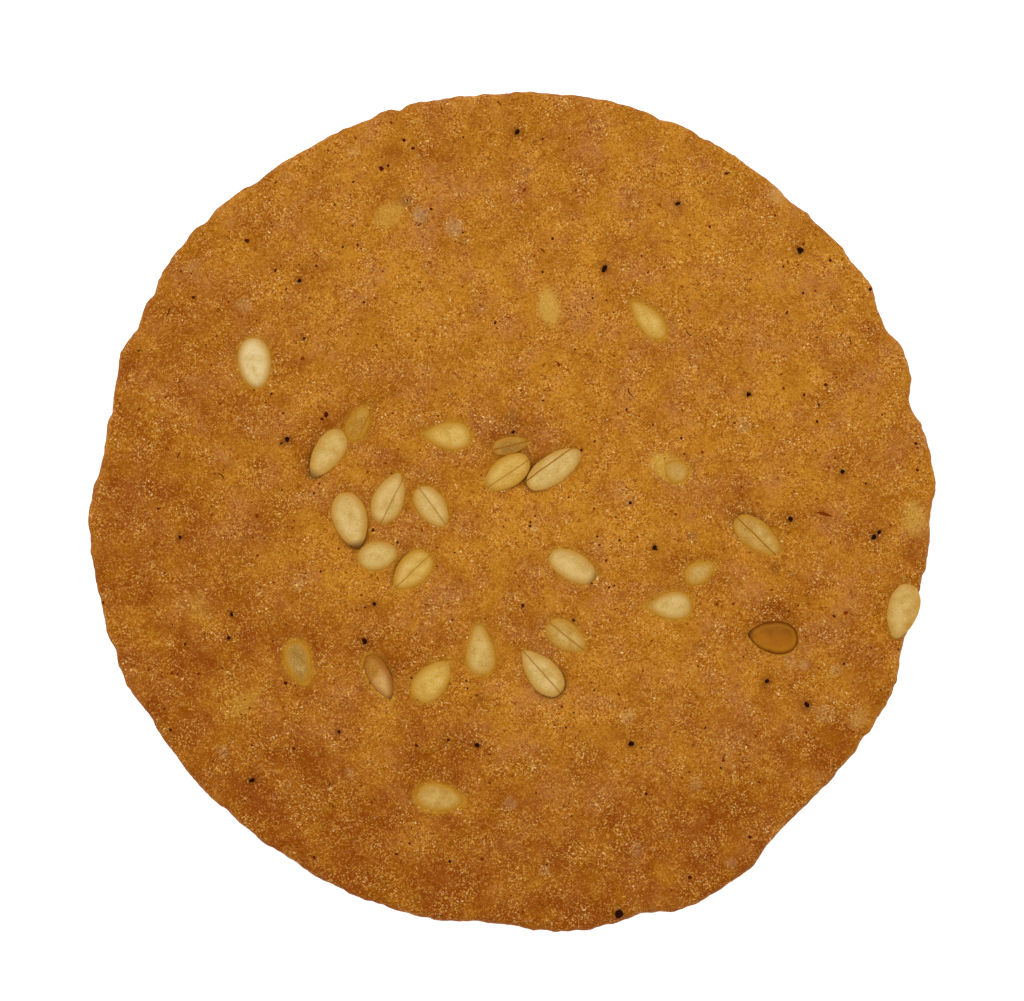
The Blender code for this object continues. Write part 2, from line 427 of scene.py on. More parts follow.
# Seeds under the skin: x, y, length, width in mm, the bearing of their length, how strongly they
# shine through, the colour that shows and how far they lift the skin in mm.
BuriedSeed = namedtuple(
    "BuriedSeed", "x y length width tip glow colour lift sharp neck", defaults=(0.06, 0.7, 0.2)
)
buried_seeds = (
    BuriedSeed(9.0, 2.8, 2.0, 1.5, 149, 0.85, "#CC9C3E", 0.04),
    BuriedSeed(2.2, 12.3, 2.4, 1.5, 100, 0.8, "#CC9E44", 0.07),
    BuriedSeed(-7.3, 17.7, 2.2, 1.5, 40, 0.65, "#C6943A", 0.06),
    BuriedSeed(24.0, -0.3, 2.3, 1.5, 100, 0.65, "#C99A40", 0.04),
    BuriedSeed(-18.7, -5.7, 2.0, 1.3, 85, 0.5, "#C08A2E", 0.05),
    BuriedSeed(-16.0, -11.4, 2.8, 1.1, 35, 0.6, "#C4902F", 0.05),
    BuriedSeed(20.7, -12.3, 1.5, 1.1, 60, 0.5, "#C4964C", 0.05),
)

# Pale, greyish spots where fat and steam pushed the skin up thin: x, y and width in mm.
blisters = (
    (-3.5, 17, 1.1), (13.8, 5.2, 1), (-12.8, -4.3, 0.9), (-16, 12.3, 1), (-19.1, 14.8, 0.8),
    (-9.4, 21.5, 0.9), (-17.2, -14.3, 0.8), (18.6, -12, 1.2), (6.9, -12.1, 1), (-0.1, -17.4, 0.9),
    (16.6, -8.9, 0.9), (19.3, -9.4, 0.8), (17.4, -9.1, 0.7), (11, -16.2, 0.9), (7.4, -20.1, 0.9),
    (13.1, -21, 0.8), (2, -21.4, 0.7), (-9.7, -15.6, 0.7),
)

# Nicks that the cutter tore in the rim: bearing in degrees from +X, width and depth in mm.
rim_nicks = (
    (16, 1.6, 0.15), (25.5, 1, 0.14), (35.5, 1.4, 0.1), (48.5, 1, 0.08), (54.5, 1, 0.08), (63, 1, 0.1),
    (69.3, 1, 0.17), (75, 1, 0.1), (83, 1, 0.12), (92, 2, 0.08), (99, 1, 0.08), (105.5, 0.7, 0.3),
    (109.5, 0.9, 0.14), (128, 0.8, 0.1), (136.5, 1, 0.14), (141, 1, 0.14), (148.5, 1.6, 0.13),
    (161, 1, 0.08), (165.5, 1, 0.11), (174.8, 1.2, 0.14), (178, 1, 0.1), (183.7, 1.2, 0.12),
    (199.5, 1, 0.17), (209, 0.8, 0.08), (327, 1, 0.12), (340, 0.8, 0.06), (346, 1.2, -0.18),
)

# Where the dough sank, most beside the seeds, and is painted darker, partly as browning and partly as
# painted shade in the hollow: x, y, width and depth in mm, and how much browner it is painted.
dents = (
    (0.2, 4.9, 2.6, 0.22, 0.5), (-1.1, 4.8, 1.7, 0.1, 0.3), (3, 4.3, 2.2, 0.16, 0.4),
    (-12.3, 3.2, 1.5, 0.16, 0.55), (-11, 5.2, 2.2, 0.16, 0.5), (-9.5, 6.5, 2.1, 0.1, 0.35),
    (13.9, 0.4, 2.2, 0.18, 0.5), (12.8, 0.1, 1.4, 0.05, 0.25), (16.2, -0.8, 1.7, 0.08, 0.3),
    (9.6, -2.9, 2.4, 0.1, 0.45), (8.3, -3.6, 2, 0.03, 0.25), (-8.7, -8, 1.8, 0.12, 0.4),
    (-6.4, -8.5, 3, 0.06, 0.35), (-6.5, -10.8, 1, 0.1, 0.4), (-4.5, -7.5, 1.8, 0.06, 0.25),
    (-0.1, -7.1, 2.9, 0.1, 0.3), (3.3, -6.1, 1.1, 0.06, 0.3), (-4.2, -14.7, 3.6, 0.1, 0.4),
    (15.4, -6, 2.4, 0.1, 0.6), (-7, 3.3, 1.6, 0.03, 0.35), (-6.4, -1.7, 1.2, 0.05, 0.25),
    (-4.2, 7.5, 3.2, 0.03, 0.2), (0.5, 13.7, 1.9, 0.04, 0.25), (-12.4, 13.9, 1.6, 0.05, 0.3),
    (0, 19.6, 2.6, 0.03, 0.3), (0.4, 22.6, 1.7, 0.03, 0.2), (-6.3, 22, 3, 0.03, 0.25),
    (21.7, 10.8, 1.4, 0.03, 0.3), (18.2, 6.2, 1.2, 0.03, 0.2), (20.2, -0.5, 3, 0.03, 0.25),
    (24, -2.3, 1.4, 0.03, 0.35), (21.7, -11.4, 1, 0.04, 0.35), (18.8, -12.9, 2.6, 0.03, 0.3),
    (11.7, -18.4, 3.8, 0.04, 0.42), (2.5, -22.9, 3.9, 0.03, 0.2), (4.8, -24, 2.2, 0.03, 0.4),
    (-8, -22.3, 3.2, 0.03, 0.22), (-15.7, -17.2, 3.5, 0.03, 0.32), (-20.8, -12.3, 2.5, 0.03, 0.3),
    (-11.5, -7.4, 2.6, 0.03, 0.22), (-24.1, -4.4, 1.6, 0.03, 0.3), (-22.9, -0.3, 3, 0.03, 0.25),
    (-23, 3.7, 2.4, 0.03, 0.25), (-15.4, 16.3, 1.3, 0.03, 0.2), (-18.9, 13, 1.6, 0.03, 0.2),
    (-14.5, -7.6, 5.6, 0.02, 0.2), (21.6, -7.4, 4, 0.02, 0.12), (-7.2, 8.2, 4, 0.02, 0.15),
    (-14.3, 0, 5, 0.02, 0.1), (13.5, -4.5, 4, 0.02, 0.12), (-19.8, 5.3, 3.2, 0.02, 0.25),
    (-1.2, -15.7, 3.4, 0.03, 0.22), (-11, -17, 2.8, 0.02, 0.22), (14.2, -18.8, 3.2, 0.02, 0.18),
    (16.7, -8.6, 1.2, 0.04, 0.3), (-3.9, -7.9, 2, 0.04, 0.25), (10.3, -2.2, 2.2, 0.03, 0.22),
    (3.7, 4.4, 1.6, 0.06, 0.25), (6.9, -20.4, 2, 0.02, 0.25), (11.8, 4.5, 2.4, 0.02, 0.2),
    (-20.2, -13.6, 1.8, 0.02, 0.2), (-8.2, 5.8, 2.8, 0.02, 0.2), (-4.1, 8.6, 2.6, 0.02, 0.2),
)

# Where the dough stayed paler: x, y and width in mm, and how much less brown it is.
pale_patches = (
    (-0.3, -10.8, 3.4, 0.28), (1.2, 0.2, 3.7, 0.28), (-5.2, -5.4, 3.2, 0.26), (8.4, 1.1, 3.6, 0.26),
    (-9.6, -11.8, 3.8, 0.22), (-10.1, -4.6, 2.7, 0.22), (11.9, -10.8, 3.7, 0.22), (-5.4, 14, 4.2, 0.22),
    (2.6, -12.1, 5, 0.2), (24.3, 1.9, 2.1, 0.2), (-17.3, -13, 2.2, 0.2), (-12.5, -1.3, 4.1, 0.2),
    (0, 9.3, 2.8, 0.18), (14.6, -4.3, 2.3, 0.18), (17.5, 1.8, 1.9, 0.18), (6, 19.1, 1.9, 0.18),
    (9.8, -9, 4.1, 0.12), (-5.3, -18.8, 2.6, 0.15), (-8.8, 13.1, 5.2, 0.14), (-18.7, 6.9, 3.3, 0.15),
    (-14.4, 11.5, 2.7, 0.15), (9.2, -15.5, 2.3, 0.12), (-2.7, 12, 4, 0.1), (5.8, -10.6, 3.6, 0.1),
    (15.2, 7.4, 5.2, 0.12), (20.6, 6.4, 1.9, 0.12), (-4.8, -12.7, 4, 0.1), (4.8, 11.6, 2.9, 0.1),
    (-9.6, 21.4, 6, 0.2), (-2.4, 22.2, 5, 0.1), (9.4, 21.2, 5.6, 0.12), (-13.4, 19.4, 6.5, 0.3),
    (-14.3, 14, 6, 0.1), (14.3, 14.2, 6, 0.12), (20.2, 13.6, 5, 0.2), (15, 19, 5, 0.15),
    (-4.4, -4.7, 3.4, 0.2), (0.1, 8.9, 2.4, 0.2), (-4.2, -21.8, 2.2, 0.35), (3.2, 22.1, 2.2, 0.25),
    (9.6, -16.4, 1.8, 0.2), (12.9, -12, 1.8, 0.2), (-16.2, 12, 2.2, 0.2), (-5, 14.4, 2, 0.2),
    (21.9, -0.5, 2, 0.25), (9.1, -22.8, 2.2, 0.2),
)

# Soft stains where a crumb or a bit of husk lies under the skin, and three pale spots of painted glint:
# x, y and width in mm, colour, and how strongly it shows.
stains_and_glints = (
    (10.7, -1.45, 0.7, "#7A4A30", 0.6), (15.7, -3.42, 0.6, "#7A4410", 0.6),
    (11.06, -7.94, 0.4, "#6A3A10", 0.6), (-1.9, -11.2, 0.5, "#7A4818", 0.5),
    (-13.5, 6.7, 0.8, "#8A3C08", 0.55), (-12.2, 9, 0.6, "#8A4410", 0.5), (0, 5.7, 0.7, "#7C5C38", 0.4),
    (-6.3, 18.6, 1.1, "#84522C", 0.6), (-5.5, 17.7, 1, "#A88E6A", 0.45),
    (-3.4, 16.9, 1.1, "#B8926A", 0.3), (-2.8, 16.1, 0.5, "#7A5434", 0.5),
    (0.8, 19.2, 0.7, "#86400C", 0.5), (0.9, 20.4, 0.4, "#6A3C18", 0.5), (15.9, 19, 1.2, "#CC9650", 0.6),
    # painted glints: pale spots standing in for highlights on two flecks and a hair
    (1.3, -1, 0.4, "#E8C078", 0.6), (6.85, 0.55, 0.2, "#F0D098", 0.8),
    (-10.87, -16.5, 0.3, "#E8C078", 0.7),
)

# Bits that went through the dough: x, y and size in mm of each kind.
flecks = {
    "char": (
        (0.3, 22.7, 0.48), (9.9, 18.4, 0.36), (17.2, 15.6, 0.46), (5.5, 14.5, 0.5), (-13.4, 4.35, 0.42),
        (-13.75, 4.1, 0.24), (-19.8, -1.5, 0.34), (-16.7, -6.1, 0.32), (-8.8, -7.7, 0.42),
        (14.1, 7, 0.34), (19.7, 2.4, 0.34), (16.6, -0.4, 0.44), (8.5, -2.1, 0.4), (21.6, -1.5, 0.42),
        (21.9, -1.2, 0.32), (15.2, -10.1, 0.4), (17.6, -11.5, 0.44), (-10.32, -13.1, 0.26),
        (7.1, -13.8, 0.38), (6.4, -24, 0.6), (-15.5, -16, 0.44), (0.05, 4.77, 0.32),
        (-2.1, -13.9, 0.36), (-16.9, -7.5, 0.24), (-12.7, 13.8, 0.3), (-8.19, -5.47, 0.28),
        (12.2, -5.5, 0.16), (3.66, -6.45, 0.22), (-12.4, 10.36, 0.24), (7.05, 0.57, 0.25),
    ),
    "plum": (
        (-11.1, 5.8, 0.4), (-11.35, 5.55, 0.26), (-7.79, 20.5, 0.4), (-6.45, 22.2, 0.28),
        (-5.9, 21.7, 0.24), (-9.45, 19.7, 0.24),
    ),
    "bran": (
        (-7.4, 20.66, 0.22), (-5.1, 19.25, 0.16), (-6.25, 18.6, 0.2), (-5.56, 17.1, 0.16),
        (12.8, 20.2, 0.3), (11.8, 17, 0.24), (16.4, 11.9, 0.26), (-1, 11.3, 0.24), (2.4, 16.3, 0.24),
        (-15.8, 16.2, 0.4), (-14.1, 14.4, 0.28), (-19, 12.8, 0.26), (-8.28, -1.08, 0.25),
        (-7.17, 2.3, 0.16), (-10.1, 15.8, 0.22), (-9.2, 15.9, 0.24), (-11.4, -3.54, 0.18),
        (-21.1, 0.2, 0.26), (-19.5, -7.9, 0.26), (-13.5, -10.2, 0.26), (-24.4, -5.4, 0.28),
        (18.7, 7.6, 0.24), (18.3, 6.4, 0.24), (18.2, 5.4, 0.22), (10.1, 4.4, 0.22), (21.1, 1.7, 0.24),
        (24.1, 4.1, 0.26), (24.2, 2.5, 0.24), (19, 15, 0.26), (21.4, 13.3, 0.34), (19.2, -6.2, 0.24),
        (-5.7, -13.9, 0.3), (-3.8, -13.6, 0.28), (8, -16.8, 0.24), (-6.9, -20.4, 0.26),
        (10.6, -21.8, 0.28), (14.2, -19.4, 0.26), (-13, -14.1, 0.24), (-20.4, -13, 0.26),
        (-11.8, -20.6, 0.24), (-6, -9.9, 0.2), (-5.62, -11.2, 0.24), (-12.3, -3.66, 0.16),
        (-2.65, -10.5, 0.16), (-9.83, -13.57, 0.16), (-4.4, 5.73, 0.16), (1.86, 6.64, 0.2),
        (4.14, 3.7, 0.28), (-1.82, 2.2, 0.15), (3.38, 0.87, 0.14), (1.07, -0.83, 0.2),
        (6.4, -1.68, 0.2), (0.63, -5.56, 0.28), (5.78, -4.5, 0.2), (4.75, -4.25, 0.16),
    ),
    "husk": (
        (0.74, 19.2, 0.3), (2.8, 8.8, 0.3), (-15.2, -0.2, 0.3), (-1.8, -20.7, 0.3), (19.9, -6, 0.32),
        (17.4, 16, 0.28), (-20.3, -9.6, 0.3), (12.6, -14.8, 0.26), (5.61, -2.88, 0.3),
        (13.2, -5.47, 0.2), (-10.73, -10.97, 0.2), (-12.5, 9.16, 0.3), (4.95, 4.23, 0.2),
    ),
}


def grid_on_disc(cells):
    """(x, y) of each point of a square grid laid evenly on the unit disc, row by row."""
    steps = np.linspace(-1, 1, cells + 1)
    a, b = (side.ravel() for side in np.meshgrid(steps, steps))
    wide = np.abs(a) > np.abs(b)
    far = np.where(wide, a, b)
    safe = np.where(far == 0, 1, far)
    turn = np.where(wide, math.pi / 4 * b / safe, math.pi / 2 - math.pi / 4 * a / safe)
    return far * np.cos(turn), far * np.sin(turn)


def grid_on_dough(cells, bearings, rims):
    """(x, y) of each point of such a grid spread over the dough, as far as its turned edge."""
    x, y = grid_on_disc(cells)
    spread = np.interp(np.arctan2(y, x), bearings, rims, period=2 * math.pi) - EDGE_INSET
    return zip(x * spread, y * spread)


def grid_faces(cells, start, facing_up):
    """Square faces of a grid of points numbered row by row."""
    numbers = np.arange(start, start + (cells + 1) ** 2).reshape(cells + 1, -1)
    corners = (numbers[:-1, :-1], numbers[:-1, 1:], numbers[1:, 1:], numbers[1:, :-1])
    faces = np.stack(corners, axis=-1).reshape(-1, 4)
    return (faces if facing_up else faces[:, ::-1]).tolist()


def grid_border(cells, start):
    """Numbers of a grid's outer points, once round anticlockwise."""
    numbers = np.arange(start, start + (cells + 1) ** 2).reshape(cells + 1, -1)
    sides = (numbers[0, :-1], numbers[:-1, -1], numbers[-1, :0:-1], numbers[:0:-1, 0])
    return np.concatenate(sides).tolist()


def wall_point(bearing, height):
    """The point of the dough's side at a bearing and a height."""
    out = Vector((math.cos(bearing), math.sin(bearing), 0))
    start = out * 2 * dough_high.x + Vector((0, 0, height))
    return cad_dough.ray_cast(start, -out)[0]


def dough_form():
    """Points and faces of the whole disc on the frame's surface: its top, its edge and its foot."""
    flat_x, flat_y = grid_on_disc(TOP_CELLS)
    border = grid_border(TOP_CELLS, 0)
    bearings = [math.atan2(flat_y[i], flat_x[i]) for i in border]
    rims = [max(wall_point(turn, z).xy.length for z in WIDEST_HEIGHTS) for turn in bearings]
    top_grid = grid_on_dough(TOP_CELLS, bearings, rims)
    points = [Vector((x, y, crust_height(x, y))) for x, y in top_grid]
    faces = grid_faces(TOP_CELLS, 0, True)
    rings = []
    for inset in EDGE_TURN_RINGS:
        out = [rim - inset * MM for rim in rims]
        ring = [(r * math.cos(turn), r * math.sin(turn)) for r, turn in zip(out, bearings)]
        rings.append([Vector((x, y, crust_height(x, y))) for x, y in ring])
    shoulder = rings[-1]
    for step in range(1, EDGE_WALL_RINGS + 1):
        share = 1 - step / (EDGE_WALL_RINGS + WALL_SPARE)
        rings.append([wall_point(turn, top.z * share) for turn, top in zip(bearings, shoulder)])
    last_ring = border
    for ring in rings:
        this_ring = list(range(len(points), len(points) + len(ring)))
        points += ring
        for i, low in enumerate(this_ring):
            following = (i + 1) % len(this_ring)
            faces.append((last_ring[i], low, this_ring[following], last_ring[following]))
        last_ring = this_ring
    start = len(points)
    points += [Vector((x, y, 0)) for x, y in grid_on_dough(FOOT_CELLS, bearings, rims)]
    faces += grid_faces(FOOT_CELLS, start, False)
    foot_ring = grid_border(FOOT_CELLS, start)
    for i, inner in enumerate(foot_ring):
        inner_next = foot_ring[(i + 1) % len(foot_ring)]
        first, middle, last = (last_ring[(2 * i + k) % len(last_ring)] for k in range(3))
        faces.append((first, inner, middle))
        faces.append((middle, inner, inner_next))
        faces.append((middle, inner_next, last))
    return points, faces


def smooth_step(value, low, high):
    """0 below low, 1 above high, and a smooth rise between."""
    part = np.clip((value - low) / (high - low), 0, 1)
    return part * part * (3 - 2 * part)


def bell(off, width):
    """1 where off is 0, falling smoothly to nothing at about twice the width."""
    return np.exp(-((off / width) ** 2))


def noise_at(points, size, shift=0.0):
    """Smooth noise at each point, about -1 to 1, whose lumps are size apart."""
    offset = Vector((shift, -shift, 2 * shift))
    return np.array([noise.noise(Vector(point) / size + offset) for point in points])


dough_points, dough_faces = dough_form()
baked = np.array(dough_points) / MM  # the points, in mm, moved step by step until they are baked
on_top = smooth_step(baked[:, 2], 1.8, 2.5)
lift = np.zeros(len(baked))
tint = np.zeros((len(baked), 4))


def top_near(x, y, size, limit=3):
    """The points of the top within so many sizes of a place, and how many sizes off each one is."""
    reach = np.hypot(baked[:, 0] - x, baked[:, 1] - y) / size
    near = np.nonzero((reach < limit) & (on_top > 0.5))[0]
    return near, reach[near]


def lay_tint(places, colour, strength):
    """Lays a colour over the tint at these points."""
    strength = np.clip(strength, 0, 1)[:, None]
    cover = tint[places, 3:] * (1 - strength)
    total = np.maximum(cover + strength, 1e-6)
    tint[places, :3] = (tint[places, :3] * cover + np.array(linear(colour)[:3]) * strength) / total
    tint[places, 3:] = cover + strength


# The dough closes round the seeds: its grid is drawn onto each outline, pressed away underneath,
# raised in a low lip round it, and torn open in a crevice by some. Painted shade darkens a ring round
# each seed and each crevice.
for number, seed in enumerate(seeds):
    near = top_near(seed.x, seed.y, 1, 4)[0]
    away, in_x, in_y = outline_distance(seed, baked[near, 0], baked[near, 1])
    wobble = noise_at(baked[near], 0.5, number)
    away += CREEP * seed.film + 0.02 * wobble
    drawn = np.abs(away) < GRID_SNAP
    baked[near, 0] += np.where(drawn, in_x * away, 0)
    baked[near, 1] += np.where(drawn, in_y * away, 0)
    beyond = np.where(drawn, 0, away)
    outside = np.maximum(beyond, 0)
    lies_open = 1 - smooth_step(-seed.rise, 0.2, 0.36)
    well = -WELL_DEPTH * smooth_step(-beyond, 0.03, 0.22) * lies_open
    lip = (0.01 + 0.03 * seed.film) * bell(outside, LIP_WIDTH)
    lift[near] += well + lip - DIP_DEPTH * bell(outside, DIP_WIDTH)
    shade_weight = 0.5 + 0.3 * -in_y  # painted shade, heaviest on the +Y side, where the hollow's wall faces away from the lamp
    lay_tint(near, SEED_SHADE, 0.48 * shade_weight * bell(outside - 0.26, 0.22))
    glow = 0.1 + 0.2 * max(0.0, seed.film - 0.5)
    lay_tint(near, OILED, (0.4 + 0.4 * seed.film) * bell(outside, glow))
    if seed.gap:
        toward = math.radians(seed.gap[0])
        side = np.arctan2(baked[near, 1] - seed.y, baked[near, 0] - seed.x) - toward
        facing = np.clip(np.cos(side), 0, 1) ** 1.5
        cleft = facing * bell(beyond - 0.04, 0.15)
        lift[near] -= seed.gap[1] * cleft
        # the crevice is painted dark with shade as well as sunk
        lay_tint(near, CREVICE_SHADE, 0.85 * cleft)
for seed in buried_seeds:
    near = top_near(seed.x, seed.y, 1, 4)[0]
    away = outline_distance(seed, baked[near, 0], baked[near, 1])[0]
    lift[near] += seed.lift * smooth_step(-away, -0.4, 0.4)
    ragged = 0.12 * noise_at(baked[near], 0.35, 2.6)
    lay_tint(near, seed.colour, seed.glow * smooth_step(-away + ragged, -0.25, 0.4))
for x, y, width in blisters:
    near, reach = top_near(x, y, width * BLISTER_SPREAD, 2)
    ragged = reach + 0.35 * noise_at(baked[near], 0.4, x)
    lift[near] += BLISTER_HEIGHT * (1 - smooth_step(ragged, 0.3, 1.2))
    ring = bell(ragged - 0.75, 0.25) + 1 - smooth_step(ragged, 0.15, 0.5)
    lay_tint(near, BLISTERED, 0.36 * ring)

darker_by = np.zeros(len(baked))
# Each dent is painted darker: browning, with painted shade in its hollow.
for x, y, width, depth, browner in dents:
    near, reach = top_near(x, y, width / 2)
    bowl = bell(reach + 0.25 * noise_at(baked[near], 0.8, y), 1)
    lift[near] -= depth * bowl
    darker_by[near] += browner * bowl
for x, y, width, paler in pale_patches:
    near, reach = top_near(x, y, width / 2)
    darker_by[near] -= paler * bell(reach + 0.25 * noise_at(baked[near], 0.8, y), 1)
for x, y, size in flecks["char"]:
    near, reach = top_near(x, y, size)
    lay_tint(near, SCORCHED, 0.75 * np.exp(-(reach**2) / 0.6))
for x, y, width, colour, strength in stains_and_glints:
    near, reach = top_near(x, y, width / 2)
    ragged = reach + 0.3 * noise_at(baked[near], 0.3, x)
    lay_tint(near, colour, strength * (1 - smooth_step(ragged, 0.4, 1.4)))

# Baking swells and dries the dough: soft lumps, a fine grain, a torn rim and an open cut edge.
soft_lumps = noise_at(baked, 2.2)
small_lumps = noise_at(baked, 0.9, 3.1)
crumbs = noise_at(baked, 0.42, 8.4)
rim_share = smooth_step(np.hypot(baked[:, 0], baked[:, 1]), 23.6, 24.8)
on_wall = rim_share * (1 - smooth_step(baked[:, 2], 2.1, 2.7))
on_foot = 1 - smooth_step(baked[:, 2], 0.0, 0.3)
relief = 0.022 * soft_lumps + (0.014 + 0.05 * on_wall) * small_lumps
relief += (0.012 + 0.05 * on_wall) * crumbs
drawn_down = baked * (1, 1, 0.3)  # the cutter drew its marks down the edge
nibble = np.minimum(noise_at(drawn_down, 1.3, 4.4), 0.35)
nibble += 0.5 * np.minimum(noise_at(drawn_down, 0.55, 6.4), 0.2)
nibble = nibble * NIBBLE - SHRUNK
bearings = np.degrees(np.arctan2(baked[:, 1], baked[:, 0]))
for bearing, width, depth in rim_nicks:
    along_rim = ((bearings - bearing + 180) % 360 - 180) * RIM_DEGREE
    nibble -= depth * bell(along_rim, width / 2)
nibble *= rim_share

crust_sockets = {"Roughness": 0.65, "IOR": 1.45, "Specular IOR Level": 0.04}
crust, crust_shader = new_material("baked_crust", crust_sockets)
dough = new_piece("crisp_dough", baked * MM, dough_faces, crust)
normals = np.empty(len(baked) * 3, np.float32)
dough.data.vertices.foreach_get("normal", normals)
normals = normals.reshape(-1, 3)
# The underside lay on the tray, so it has only shallow pits where steam lifted it.
foot_pits = smooth_step(noise_at(baked, 1.3, 5.7), 0.25, 0.6) * PIT_DEPTH
baked += normals * (relief * (1 - on_foot))[:, None]
outwards = baked[:, :2] / np.maximum(np.hypot(baked[:, 0], baked[:, 1]), 1e-6)[:, None]
baked[:, :2] += outwards * nibble[:, None]
baked[:, 2] += lift + on_foot * foot_pits
baked[:, 2] = np.maximum(baked[:, 2], 0)
dough.data.vertices.foreach_set("co", (baked * MM).astype(np.float32).ravel())
dough.data.update()

# The crust is browner towards the rim, and painted shade darkens it towards the left and the near
# side, where the dome turns away from the lamp.
x, y = baked[:, 0], baked[:, 1]
baked_and_shaded = 0.38 - 0.005 * x - 0.006 * y + 0.0004 * np.minimum(y, 0) ** 2
baked_and_shaded += 0.35 * smooth_step(np.hypot(x - 2, y - 2), 8, 27) + darker_by
browning_and_shade = np.where(on_foot > 0.5, 0.9, baked_and_shaded + 0.15 * on_wall)
mark(dough, "browning_and_shade", browning_and_shade)
mark(dough, "tint", tint, "FLOAT_COLOR")
mark(dough, "tint_cover", tint[:, 3])

place = node(crust, "TexCoord", out="Object")
# Oven browning, in soft patches a millimetre or two wide.
patches = node(crust, "TexNoise", None,
               {"Vector": place, "Scale": 1 / (2.6 * MM), "Detail": 2.0, "Roughness": 0.65})
patches = node(crust, "MapRange", None, {0: patches, 1: 0.33, 2: 0.67, 3: -0.36, 4: 0.36})
# browning together with painted shade
brown = node(crust, "Attribute", {"attribute_name": "browning_and_shade"}, out="Fac")
brown = node(crust, "Math", {"operation": "ADD"}, {0: patches, 1: brown})
brown = node(crust, "MapRange", None, {0: brown, 1: 0.0, 2: 1.2, 3: 0.0, 4: 1.0})
# where the crust is less browned and has less painted shade
paler_crust = node(crust, "MapRange", None, {0: brown, 1: 0.35, 2: 0.95, 3: 1.0, 4: 0.15})
# Oilier and drier areas a few millimetres wide, mottling of sugar and flour about a millimetre
# wide, and small open pores, a third of a millimetre wide.
oil = node(crust, "TexNoise", None,
           {"Vector": place, "Scale": 1 / (3 * MM), "Detail": 3.0, "Roughness": 0.7})
mottle = node(crust, "TexNoise", None, {"Vector": place, "Scale": 1 / (0.6 * MM), "Detail": 3.0})
pore = node(crust, "TexNoise", None, {"Vector": place, "Scale": 1 / (0.36 * MM), "Detail": 1.0})
tint_colour = node(crust, "Attribute", {"attribute_name": "tint"}, out="Color")
tint_cover = node(crust, "Attribute", {"attribute_name": "tint_cover"}, out="Fac")
# Grain: each crumb, a tenth of a millimetre wide or less, has a tone of its own.
crumb = node(crust, "TexVoronoi", None, {"Vector": place, "Scale": 1 / (0.13 * MM)}, out="Color")
crumb = node(crust, "SeparateColor", None, {0: crumb})
fine_crumb = node(crust, "TexVoronoi", None, {"Vector": place, "Scale": 1 / (0.07 * MM)}, out="Color")
fine_crumb = node(crust, "SeparateColor", None, {0: fine_crumb})
tone = node(crust, "Math", {"operation": "MULTIPLY_ADD"}, {0: crumb, 1: 0.32, 2: fine_crumb})
# The grain is open in areas a millimetre or two wide, and oil has filled it between them.
cluster = node(crust, "TexNoise", None,
               {"Vector": place, "Scale": 1 / (1.6 * MM), "Detail": 3.0, "Roughness": 0.7})
opened = node(crust, "MapRange", None, {0: cluster, 1: 0.36, 2: 0.62, 3: 0.62, 4: 1.4})
bare = node(crust, "MapRange", None, {0: tint_cover, 1: 0.2, 2: 0.9, 3: 1.0, 4: 0.4})
bare = node(crust, "Math", {"operation": "MULTIPLY"}, {0: bare, 1: opened})
# Painted glints: clusters of tiny pale points in the colour, where dry sugar and fat would catch the
# light.
painted_glints = node(crust, "TexNoise", None, {"Vector": place, "Scale": 1 / (0.13 * MM), "Detail": 1.5})
glint_clusters = node(crust, "MapRange", None, {0: cluster, 1: 0.45, 2: 0.62, 3: 0.08, 4: 1.0})
# What the crust is made up of, from the bottom up: what it follows, where it starts and where it is
# fullest, how much then shows, what holds it back, and its colour.
crust_coats = (
    (brown, 0.0, 1.0, 1.0, None, linear("#883E00")),
    (oil, 0.5, 0.3, 0.36, None, linear("#BE820C")),  # oilier and yellower
    (oil, 0.5, 0.68, 0.56, paler_crust, linear("#AC6E42")),  # drier and pinker
    (mottle, 0.5, 0.75, 0.36, None, linear("#843E00")),  # redder, where sugar browned
    (mottle, 0.48, 0.22, 0.34, paler_crust, linear("#C08836")),  # paler, where flour shows
    (pore, 0.64, 0.8, 0.8, None, linear("#702A00")),
    (tint_cover, 0.0, 1.0, 1.0, None, tint_colour),  # buried seeds, blisters, stains and crevices
    (tone, 0.62, 0.0, 0.92, bare, linear("#8C4400")),  # between the crumbs
    (tone, 0.75, 1.32, 0.75, bare, linear("#DA9C42")),  # the palest crumbs
    (painted_glints, 0.63, 0.72, 0.9, glint_clusters, linear("#F4D290")),  # painted glints
)
colour = linear("#C27E20")
for source, first, full, most, held, over in crust_coats:
    share = node(crust, "MapRange", None, {0: source, 1: first, 2: full, 3: 0.0, 4: most})
    if held:
        share = node(crust, "Math", {"operation": "MULTIPLY"}, {0: share, 1: held})
    colour = node(crust, "Mix", {"data_type": "RGBA"}, {0: share, 6: colour, 7: over}, out=2)
crust.node_tree.links.new(colour, crust_shader.inputs["Base Color"])
rough_grain = node(crust, "Bump", None, {"Strength": 0.5, "Distance": 0.03 * MM, "Height": tone})
crust.node_tree.links.new(rough_grain, crust_shader.inputs["Normal"])
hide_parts("baked_dough")
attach(dough, "root")

# ---- Bran flecks ----
# Bits of wheat bran, charred crumb and sesame husk that went through the dough and lie in its top:
# thin, broken chips, nearly black to red brown, and a few short hairs of husk.

FLECK_COLOURS = {"char": "#200B02", "plum": "#4C1008", "bran": "#481A00", "husk": "#7A3000"}
FLECK_CORNERS = 7
FLECK_HEIGHT = 0.05 * MM
FLECK_SUNK = 0.005 * MM
FLECKS = 800  # with the strays, which lie anywhere but on the seeds
STRAY_REACH = 24.6  # mm from the middle
HAIR_RINGS = 7
HAIR_THICKNESS = 0.03 * MM
